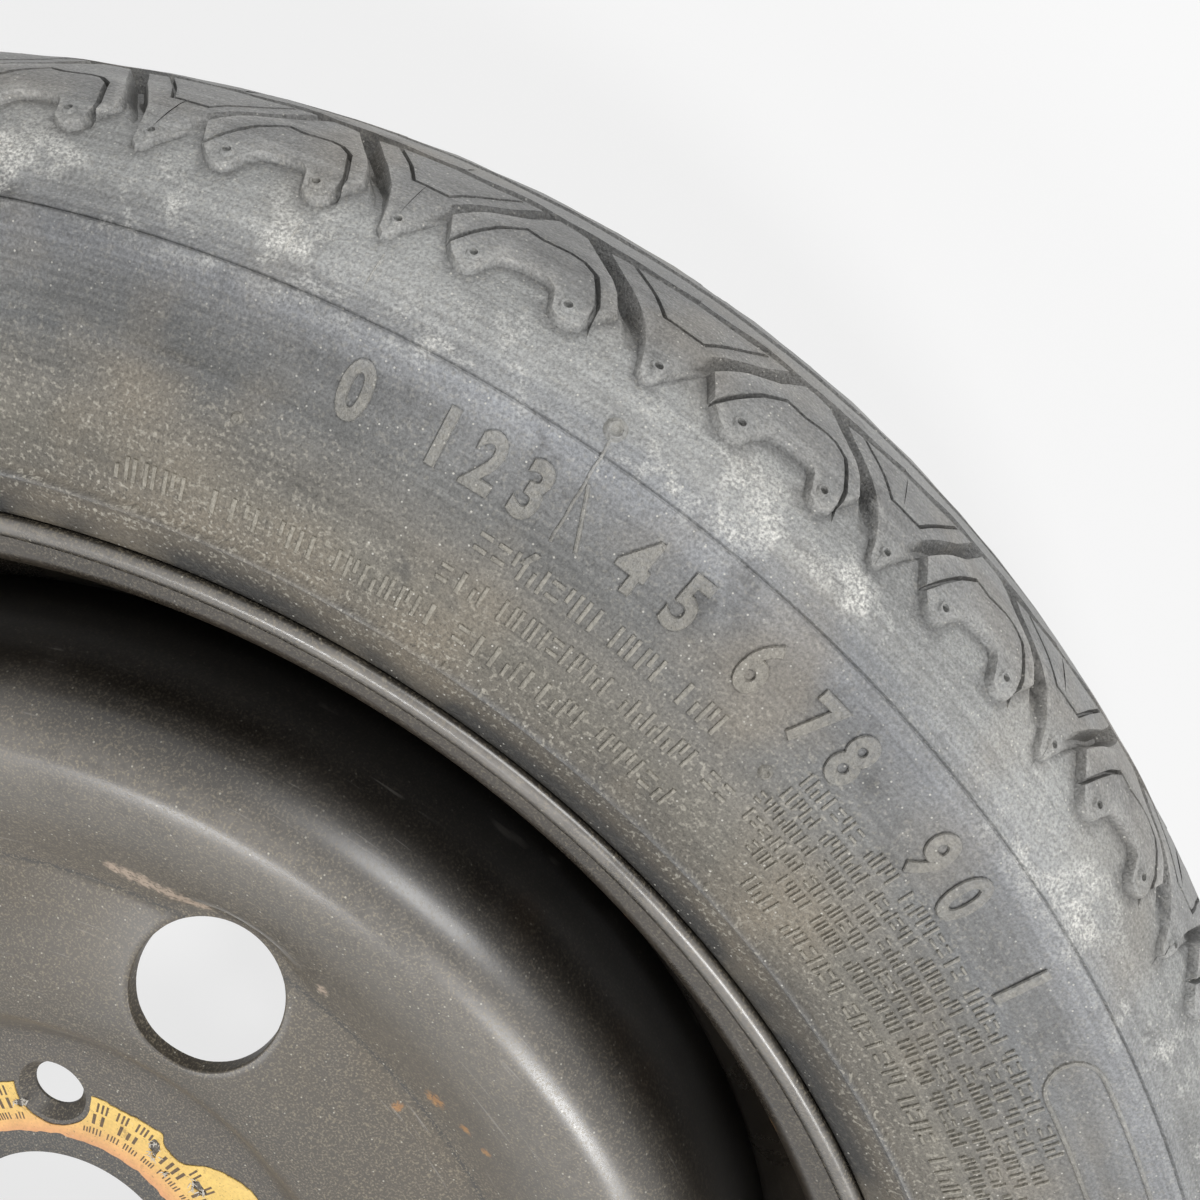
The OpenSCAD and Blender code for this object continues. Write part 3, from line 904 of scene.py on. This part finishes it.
def label_fibres():
    """Pale shreds of paper standing at the torn spots."""
    local = np.random.default_rng(23)
    parts = []
    for x, y, a, b, turn in TEARS:
        ring = tear(x, y, a, b, turn)
        for _ in range(int(26 * (a + b) / 4.6)):
            k = int(local.integers(0, len(ring)))
            at = ring[k] + local.normal(0, 0.35, 2)
            way = local.normal(0, 1, 2)
            way /= np.hypot(*way)
            side = np.array([-way[1], way[0]]) * local.uniform(0.08, 0.2)
            long = local.uniform(0.5, 1.7)
            z0, z1 = DISC_T + 0.3, DISC_T + 0.45 + local.uniform(0, 0.5)
            end = at + way * long
            corners = (at - side, at + side, end + side * 0.5, end - side * 0.5)
            heights = ((z0 + 0.08, z1 + 0.06), (z0, z1))
            parts.append(([(*q, z) for root, tip in heights for q, z in zip(corners, (root, root, tip, tip))], BOX))
    return join(*parts)


# Materials
def add_node(tree, kind, inputs, out=0, **settings):
    """A node with its settings and with values or links at its inputs; gives one of its outputs."""
    node = tree.nodes.new(kind)
    for key, value in settings.items():
        setattr(node, key, value)
    for key, value in inputs.items():
        if isinstance(value, bpy.types.NodeSocket):
            tree.links.new(value, node.inputs[key])
        else:
            node.inputs[key].default_value = value
    return node.outputs[out]


class Paint:
    """A Principled material put together from a few kinds of nodes; lengths in millimetres."""

    def __init__(self, name, rough=0.5, metal=0.0, specular=0.5, coat=0.0, coat_rough=0.1):
        self.material = bpy.data.materials.new(name)
        self.material.use_nodes = True
        self.tree = self.material.node_tree
        self.shader = self.tree.nodes["Principled BSDF"]
        for socket, value in (("Roughness", rough), ("Metallic", metal), ("Specular IOR Level", specular),
                              ("Coat Weight", coat), ("Coat Roughness", coat_rough)):
            self.shader.inputs[socket].default_value = value
        self.place = self.node("ShaderNodeTexCoord", {}, "Object")
        self.mm = self.node("ShaderNodeVectorMath", {0: self.place, 3: 1000.0}, 0, operation="SCALE")
        self.x = self.node("ShaderNodeSeparateXYZ", {0: self.mm})
        self.y = self.x.node.outputs[1]
        flat = self.plus(self.times(self.x, self.x), self.times(self.y, self.y))
        self.r = self.math("SQRT", flat, 0.0)

    def node(self, kind, inputs, out=0, **settings):
        return add_node(self.tree, kind, inputs, out, **settings)

    def math(self, op, a, b=0.0, clamp=False):
        return self.node("ShaderNodeMath", {0: a, 1: b}, operation=op, use_clamp=clamp)

    def times(self, first, *others):
        for other in others:
            first = self.math("MULTIPLY", first, other)
        return first

    def plus(self, first, *others):
        for other in others:
            first = self.math("ADD", first, other)
        return first

    def noise(self, size, detail=3.0, rough=0.55, at=None, spread=0.0):
        """Cloudy values, about 0 to 1, with features of the given size."""
        return self.node("ShaderNodeTexNoise", {"Vector": at or self.mm, "Scale": 1.0 / size, "Detail": detail,
                                                "Roughness": rough, "Distortion": spread})

    def streaked(self, across, along):
        """Place round the axis, for clouds drawn out along the turning direction."""
        way = (self.times(self.math("DIVIDE", v, self.r), 250.0 / along) for v in (self.x, self.y))
        return self.node("ShaderNodeCombineXYZ", dict(enumerate((self.times(self.r, 1.0 / across), *way))))

    def step(self, value, low, high, a=0.0, b=1.0):
        return self.node("ShaderNodeMapRange", {"Value": value, "From Min": low, "From Max": high,
                                                "To Min": a, "To Max": b})

    def specks(self, cell, size, share):
        """Small round dots: one place per cell, a share of them used."""
        away = self.node("ShaderNodeTexVoronoi", {"Vector": self.mm, "Scale": 1.0 / cell}, "Distance")
        pick = self.node("ShaderNodeSeparateColor", {0: away.node.outputs["Color"]})
        near = self.step(away, size * 0.6 / cell, size / cell, 1.0, 0.0)
        return self.times(near, self.math("LESS_THAN", pick, share))

    def ramp(self, value, low, high, stops):
        """Colour by a value between low and high."""
        found = self.node("ShaderNodeValToRGB", {0: self.step(value, low, high)})
        elements = found.node.color_ramp.elements
        while len(elements) < len(stops):
            elements.new(0.5)
        for element, (at, _) in zip(elements, stops):
            element.position = (at - low) / (high - low)
        for element, (_, colour) in zip(elements, stops):
            element.color = (*colour, 1)
        return found

    def blend(self, a, b, *amounts, kind="MIX"):
        """Colour a going over to b by the product of the amounts."""
        a, b = [v if isinstance(v, bpy.types.NodeSocket) else (*v, 1) for v in (a, b)]
        return self.node("ShaderNodeMix", {0: self.times(*amounts), 6: a, 7: b}, 2,
                         data_type="RGBA", blend_type=kind)

    def scaled(self, colour, amount):
        """Colour times a value."""
        grey = self.node("ShaderNodeCombineXYZ", {0: amount, 1: amount, 2: amount})
        return self.blend(colour, grey, 1.0, kind="MULTIPLY")

    def spots(self, places, uneven, broken):
        """1 near any of the places [x, y, radius], 0 from its radius on; the edges are uneven and broken."""
        flat = self.node("ShaderNodeCombineXYZ", {0: self.x, 1: self.y})
        near = 10.0
        for x, y, radius in places:
            away = self.node("ShaderNodeVectorMath", {0: flat, 1: (x, y, 0)}, 1, operation="DISTANCE")
            near = self.math("MINIMUM", near, self.math("DIVIDE", away, radius))
        return self.times(self.step(self.plus(near, uneven), 1.0, 0.5), broken)

    def bump(self, height, depth):
        """Relief of the given depth in millimetres."""
        relief = self.node("ShaderNodeBump", {"Distance": depth * MM, "Height": height})
        self.tree.links.new(relief, self.shader.inputs["Normal"])

    def finish(self, colour=None, rough=None):
        if colour is not None:
            self.tree.links.new(colour, self.shader.inputs["Base Color"])
        if rough is not None:
            self.tree.links.new(rough, self.shader.inputs["Roughness"])
        return self.material


GRIT = (0.5, 0.47, 0.4)


def rubber_material(name, lighter=0.0, grit=0.0):
    """Dusty tyre rubber: brownish and gritty at the bead, grey wall, pale dirt round the blocks; painted shade under
    the rim edge and in the cuts, painted sheen on the upper wall.
    """
    m = Paint(name, 0.5)
    # Tone by radius, with painted light and shade in it: near black from 226 to 237 mm is painted shade in the
    # groove under the rim edge, and the lighter bluish band from 283 to 311 mm is painted sheen; a lighter line lies
    # on the bead ridge at 241.8 mm.
    tone_and_light = m.ramp(m.r, 225, 320, [
        (226, (0.012, 0.011, 0.01)), (235, (0.016, 0.015, 0.013)), (237, (0.05, 0.043, 0.034)),
        (238.5, (0.095, 0.083, 0.065)), (240.6, (0.12, 0.108, 0.09)), (241.8, (0.17, 0.17, 0.168)),
        (243.4, (0.13, 0.118, 0.098)), (252, (0.17, 0.158, 0.132)), (262, (0.165, 0.156, 0.138)),
        (272, (0.15, 0.15, 0.145)), (283, (0.165, 0.167, 0.168)), (288, (0.215, 0.22, 0.228)),
        (297, (0.3, 0.302, 0.295)), (305, (0.3, 0.303, 0.295)), (311, (0.225, 0.225, 0.22)),
        (318, (0.2, 0.2, 0.195))])
    wide = m.noise(55, 3, 0.6, spread=0.6)
    drawn = m.noise(1.0, 3, 0.65, m.streaked(14, 90))
    lines = m.noise(1.0, 2, 0.7, m.streaked(1.1, 60))
    shade = m.plus(m.step(wide, 0.3, 0.7, 0.74, 1.2), m.step(drawn, 0.3, 0.7, -0.24, 0.24),
                   m.step(lines, 0.35, 0.65, -0.14, 0.14))
    colour = m.scaled(tone_and_light, shade)
    warm = m.times(m.step(m.noise(38, 2, 0.6), 0.5, 0.68), m.step(m.r, 246, 300, 0.6, 0.35))
    colour = m.blend(colour, (0.24, 0.205, 0.155), warm)
    # Painted sheen: a bluish band from 268 to 300 mm.
    painted_sheen = m.times(m.step(m.noise(1.0, 2, 0.5, m.streaked(9, 160)), 0.5, 0.7),
                   m.step(m.r, 268, 284), m.step(m.r, 300, 290))
    colour = m.blend(colour, (0.22, 0.245, 0.29), painted_sheen, 0.6)
    scuff = m.step(m.noise(24, 4, 0.7), 0.42, 0.3)
    colour = m.blend(colour, (0.055, 0.054, 0.052), scuff, 0.65)
    pale = m.times(m.step(m.noise(17, 4, 0.75), 0.52, 0.66), m.step(m.r, 287, 293), m.step(m.r, 307, 300))
    fine = m.noise(0.6, 2, 0.65)
    pale = m.times(pale, m.step(fine, 0.4, 0.6, 0.3, 1.0))
    colour = m.blend(colour, (0.68, 0.67, 0.63), pale, 0.8)
    hollow = m.node("ShaderNodeAttribute", {}, "Fac", attribute_name="hollow")
    worn = m.node("ShaderNodeAttribute", {}, "Fac", attribute_name="worn")
    # Painted shade in the cuts and at the feet of the blocks.
    colour = m.blend(colour, (0.04, 0.04, 0.04), hollow, 0.6)
    # Lighter band inside the block edges: partly wear, partly painted highlight.
    colour = m.blend(colour, (0.42, 0.41, 0.39), worn, m.step(m.noise(6, 2, 0.7), 0.35, 0.6, 0.1, 0.6))
    grain = m.noise(0.75, 2, 0.7)
    # Less grit below 238 mm keeps the painted shade under the rim edge dark.
    gritty = m.times(m.step(m.r, 242, 282, 1.0, 0.25), m.step(m.r, 235.5, 238, 0.15, 1.0))
    sand = m.times(m.step(m.noise(0.95, 1, 0.6), 0.56, 0.68), gritty, m.step(drawn, 0.3, 0.6, 0.25, 0.9))
    colour = m.blend(colour, GRIT, sand, 0.75)
    shadowed = m.times(m.step(grain, 0.42, 0.32), gritty)
    colour = m.blend(colour, (0.05, 0.047, 0.04), shadowed, 0.6)
    colour = m.scaled(colour, m.step(fine, 0.3, 0.7, 0.68, 1.32))
    dots = m.times(m.specks(1.4, 0.24, 0.36), m.step(wide, 0.35, 0.6, 0.35, 1.0))
    colour = m.blend(colour, (0.68, 0.66, 0.6), dots, 0.8)
    if lighter:
        colour = m.blend(colour, GRIT, m.step(m.noise(1.3, 3, 0.7), 0.35, 0.65, lighter * 0.4, lighter))
    m.bump(grain, 0.3 + 0.25 * grit)
    rough = m.plus(m.step(wide, 0.3, 0.7, 0.42, 0.56), m.times(gritty, 0.12))
    return m.finish(colour, rough)


def dusty_steel(name, tone_and_light, low, high, gloss, dusty=1.0, chips=(), rust=()):
    """Black painted steel with fine brown dust, scratches, chips and rust spots; its tone by radius carries painted
    light and shade.
    """
    m = Paint(name, gloss, specular=0.65, coat=0.2, coat_rough=0.25)
    colour = m.ramp(m.r, low, high, [(at, (ink[0] * 0.6, ink[1] * 0.54, ink[2] * 0.46)) for at, ink in tone_and_light])
    cloud = m.noise(42, 3, 0.65, spread=0.8)
    fine = m.noise(2.2, 2, 0.7)
    colour = m.scaled(colour, m.plus(m.step(cloud, 0.3, 0.7, 0.78, 1.2), m.step(fine, 0.3, 0.7, -0.14, 0.14)))
    # Dust and specks fade out between 180 and 222 mm, least from 192 to 216 mm, so the painted shade in the gap by
    # the rim stays dark.
    dust_out_of_shade = m.step(m.math("MAXIMUM", m.step(m.r, 192, 180), m.step(m.r, 216, 222)), 0, 1, 0.1, dusty)
    dust = m.times(m.step(m.noise(0.6, 2, 0.6), 0.5, 0.68), dust_out_of_shade, 0.6)
    colour = m.blend(colour, (0.32, 0.275, 0.2), dust)
    dots = m.specks(2.0, 0.28, 0.45)
    colour = m.blend(colour, (0.6, 0.57, 0.48), dots, dust_out_of_shade, 0.7)
    uneven = m.step(m.noise(1.2, 3), 0, 1, -0.8, 0.8)
    broken = m.step(m.noise(1.1, 2, 0.7), 0.36, 0.5, 0.15, 1.0)
    if chips:
        colour = m.blend(colour, (0.5, 0.39, 0.3), m.spots(chips, uneven, broken), 0.85)
    shade = m.ramp(fine, 0.3, 0.7, [(0.3, (0.3, 0.13, 0.035)), (0.7, (0.5, 0.27, 0.09))])
    colour = m.blend(colour, shade, m.spots(rust, uneven, broken), 0.85)
    thin = m.noise(1.0, 2, 0.5, m.streaked(0.7, 40))
    scratch = m.times(m.step(thin, 0.66, 0.72), m.step(cloud, 0.5, 0.62))
    colour = m.blend(colour, (0.35, 0.33, 0.3), scratch, 0.4)
    m.bump(fine, 0.03)
    rough = m.plus(m.step(cloud, 0.3, 0.7, gloss - 0.04, gloss + 0.08), m.times(dust, 0.3))
    rough = m.plus(rough, m.step(m.r, 152, 138, 0.0, 0.2))
    return m.finish(colour, rough)


chip_spots = [(*polar(146.9 - 0.26 * i, 102.8 - 1.4 * i), 3.3 if i % 3 else 2.7) for i in range(7)]
chip_spots += [(*polar(145.3, 81), 2.2), (*polar(120, 250), 3), (*polar(160, 330), 2.5)]
rust_spots = [(*polar(145.5, 66.2), 3), (*polar(148.4, 62.6), 1.8), (*polar(133, 66.6), 1.6),
              (*polar(150, 60), 1.5), (*polar(156, 200), 2.6), (*polar(104, 300), 2)]
# Disc tone: painted shade in the crease at 138 mm and in the gap beyond 185 mm, and a painted highlight band on the
# raised ring from about 160 to 185 mm.
disc_paint = dusty_steel("disc_paint", [
    (32, (0.018, 0.017, 0.016)), (40, (0.022, 0.02, 0.018)), (44, (0.05, 0.044, 0.037)),
    (70, (0.055, 0.047, 0.039)), (80, (0.05, 0.043, 0.035)), (100, (0.068, 0.06, 0.047)),
    (135, (0.088, 0.077, 0.06)), (137.3, (0.085, 0.075, 0.058)), (137.9, (0.02, 0.018, 0.016)),
    (138.5, (0.02, 0.018, 0.016)), (139.2, (0.085, 0.075, 0.06)), (150, (0.115, 0.107, 0.095)),
    (165, (0.15, 0.148, 0.142)), (172, (0.21, 0.212, 0.215)), (181, (0.23, 0.235, 0.245)),
    (185, (0.12, 0.12, 0.122)), (188, (0.06, 0.058, 0.056)), (193, (0.012, 0.011, 0.01)),
    (198, (0.006, 0.006, 0.006))],
    30, 200, 0.32, 1.0, chip_spots, rust_spots)
seat_rust = [(*polar(214, 73), 2), (*polar(215, 71.6), 2.5), (*polar(214.5, 60), 2), (*polar(215, 56), 2.4)]
# Rim tone: painted shade in the gap below the lip up to 219 mm, a thin dark line at 226.9 mm and a painted highlight
# on the rounded edge from 227.3 to 231.3 mm.
rim_paint = dusty_steel("rim_paint", [
    (195, (0.01, 0.01, 0.01)), (210, (0.02, 0.016, 0.012)), (219, (0.04, 0.033, 0.026)),
    (222, (0.075, 0.065, 0.05)), (226, (0.07, 0.06, 0.047)), (226.9, (0.02, 0.018, 0.016)),
    (227.3, (0.06, 0.058, 0.055)), (228.6, (0.3, 0.31, 0.33)), (230.2, (0.3, 0.31, 0.33)),
    (231.3, (0.06, 0.058, 0.054)), (233, (0.03, 0.03, 0.03))], 190, 240, 0.26, 0.7, (), seat_rust)


def paper_material():
    """Yellow label paper, warmer inside, with rubbed and stained patches."""
    m = Paint("label_paper", 0.55)
    colour = m.ramp(m.r, 38, 70, [(40, (0.7, 0.34, 0.16)), (43, (0.78, 0.43, 0.17)), (48, (0.82, 0.54, 0.17)),
                                  (56, (0.84, 0.58, 0.17)), (68, (0.84, 0.59, 0.19))])
    cloud, fine = m.noise(9, 5, 0.7), m.noise(0.9, 3)
    colour = m.scaled(colour, m.plus(m.step(cloud, 0.3, 0.7, 0.86, 1.08), m.step(fine, 0.3, 0.7, -0.08, 0.08)))
    stain = m.step(m.noise(5, 5, 0.75), 0.6, 0.68)
    colour = m.blend(colour, (0.24, 0.13, 0.045), stain, 0.5)
    rubbed = m.step(m.noise(3.4, 5, 0.75), 0.34, 0.28)
    colour = m.blend(colour, (0.72, 0.66, 0.56), rubbed, 0.7)
    dirt = m.step(m.noise(0.8, 2, 0.6), 0.63, 0.7)
    colour = m.blend(colour, (0.12, 0.08, 0.04), dirt, 0.5)
    m.bump(m.noise(1.6, 4, 0.7), 0.15)
    return m.finish(colour)


def worn_plain(name, colour, other, rough, metal=0.0, size=3.0, relief=0.05):
    m = Paint(name, rough, metal)
    shade = m.blend(colour, other, m.step(m.noise(size, 4, 0.65), 0.35, 0.65))
    shade = m.blend(shade, tuple(c * 0.4 for c in colour), m.step(m.noise(size * 0.35, 3), 0.56, 0.7), 0.5)
    m.bump(m.noise(size * 0.3, 3), relief)
    return m.finish(shade, m.step(m.noise(size * 2, 3), 0.3, 0.7, rough - 0.08, rough + 0.12))


rubber = rubber_material("rubber")
rubber_signs = rubber_material("rubber_signs", 0.55, 0.6)
rubber_numerals = rubber_material("rubber_numerals", 0.34, 0.8)
paper = paper_material()
print_ink = worn_plain("print_ink", (0.07, 0.045, 0.025), (0.16, 0.1, 0.05), 0.6, size=1.2)
fibre = worn_plain("torn_fibre", (0.75, 0.72, 0.66), (0.5, 0.45, 0.38), 0.8, size=0.8)
brass = worn_plain("brass", (0.62, 0.43, 0.17), (0.45, 0.29, 0.1), 0.34, 1.0)
spring_steel = worn_plain("spring_steel", (0.5, 0.5, 0.5), (0.36, 0.36, 0.37), 0.34, 1.0)
black_rubber = worn_plain("black_rubber", (0.035, 0.034, 0.033), (0.06, 0.057, 0.052), 0.55)
cap_plastic = worn_plain("cap_plastic", (0.03, 0.03, 0.03), (0.05, 0.048, 0.045), 0.4)
white_seal = worn_plain("white_seal", (0.75, 0.73, 0.68), (0.66, 0.63, 0.57), 0.5)
red_seal = worn_plain("red_seal", (0.2, 0.03, 0.025), (0.12, 0.02, 0.02), 0.55)
weld_bead = worn_plain("weld_bead", (0.03, 0.028, 0.026), (0.07, 0.06, 0.05), 0.4, 0.0, 2.0, 0.2)

# Pieces
tyre_parts = [tyre_half(FINE, 1), tyre_half(COARSE, -1, SHORT_STEP / 2)]
tyre_notes = [tread_notes(FINE, len(tyre_parts[0][0])), tread_notes(COARSE, len(tyre_parts[1][0]))]
piece("tyre_skin", join(*tyre_parts), [rubber], ["tyre"],
      notes={key: np.concatenate([n[key] for n in tyre_notes]) for key in ("hollow", "worn")})
piece("size_numerals", numerals(), [rubber_numerals])
piece("small_signs", sign_rows(), [rubber_signs], weld=0)
piece("moulded_marks", moulded_marks(), [rubber_numerals], weld=0)
piece("disc_skin", disc_shell(), [disc_paint], ["disc"], sharp=30)
piece("label_skin", label_sheet(), [paper], ["label"], weld=0)
piece("label_print", label_print(), [print_ink], weld=0)
piece("label_fibres", label_fibres(), [fibre], weld=0)
piece("rim_skin", rim_shell(), [rim_paint], ["rim"], sharp=30)

for name, material in (("disc_welds", weld_bead), ("valve_body", black_rubber), ("valve_stem", brass),
                       ("core_barrel", brass), ("core_seal", white_seal), ("core_pin", brass),
                       ("core_cup", black_rubber), ("core_spring", spring_steel), ("valve_cap", cap_plastic),
                       ("cap_gasket", red_seal)):
    node = bpy.data.objects.get(name)
    if node is not None:
        node.data.materials.clear()
        node.data.materials.append(material)


# Floor, lamps and background
def seen_white(tree, shader, strength, share):
    """Shader mixed with plain white where the camera or a reflection sees it."""
    camera = add_node(tree, "ShaderNodeLightPath", {}, "Is Camera Ray")
    others = [camera.node.outputs[kind] for kind in ("Is Glossy Ray", "Is Transmission Ray")]
    both = add_node(tree, "ShaderNodeMath", dict(enumerate(others)), operation="MAXIMUM")
    either = add_node(tree, "ShaderNodeMath", {0: camera, 1: both}, operation="MAXIMUM")
    part = add_node(tree, "ShaderNodeMath", {0: either, 1: share}, operation="MULTIPLY")
    kind = "ShaderNodeEmission" if share < 1 else "ShaderNodeBackground"
    white = add_node(tree, kind, {"Color": (1, 1, 1, 1), "Strength": strength})
    return add_node(tree, "ShaderNodeMixShader", {"Fac": part, 1: shader, 2: white})


floor_mesh = bpy.data.meshes.new("floor")
floor_mesh.from_pydata([(x, y, tyre_low.z) for x, y in ((-8, -8), (8, -8), (8, 8), (-8, 8))], [], [(0, 1, 2, 3)])
floor_paint = bpy.data.materials.new("floor_paint")
floor_paint.use_nodes = True
floor_shader = floor_paint.node_tree.nodes["Principled BSDF"]
floor_shader.inputs["Base Color"].default_value = (0.85, 0.85, 0.85, 1)
floor_shader.inputs["Roughness"].default_value = 0.9
floor_end = seen_white(floor_paint.node_tree, floor_shader.outputs[0], 0.95, 0.82)
floor_paint.node_tree.links.new(floor_end, floor_paint.node_tree.nodes["Material Output"].inputs["Surface"])
floor_mesh.materials.append(floor_paint)
floor = bpy.data.objects.new("floor", floor_mesh)
scene.collection.objects.link(floor)


def soft_light(name, direction, size, watts, away=2.2):
    """A square lamp turned to the middle of the view."""
    data = bpy.data.lights.new(name, "AREA")
    data.energy = watts
    data.size = size
    lamp = bpy.data.objects.new(name, data)
    way = Vector(direction).normalized()
    lamp.location = Vector((0.05, 0.17, 0.03)) + way * away
    lamp.rotation_euler = (-way).to_track_quat("-Z", "Y").to_euler()
    scene.collection.objects.link(lamp)


soft_light("window", (0.25, 0.75, 0.6), 1.2, 54, 3.0)
soft_light("lamp_right", (0.46, -0.26, 0.85), 0.5, 23)
soft_light("lamp_left", (-0.16, -0.6, 0.78), 0.4, 11)
world = bpy.data.worlds.new("world")
scene.world = world
world.use_nodes = True
dim = world.node_tree.nodes["Background"]
dim.inputs["Color"].default_value = (1, 1, 1, 1)
dim.inputs["Strength"].default_value = 0.2
world_end = seen_white(world.node_tree, dim.outputs[0], 1.0, 1.0)
world.node_tree.links.new(world_end, world.node_tree.nodes["World Output"].inputs["Surface"])
scene.view_settings.view_transform = "Standard"
make_camera()
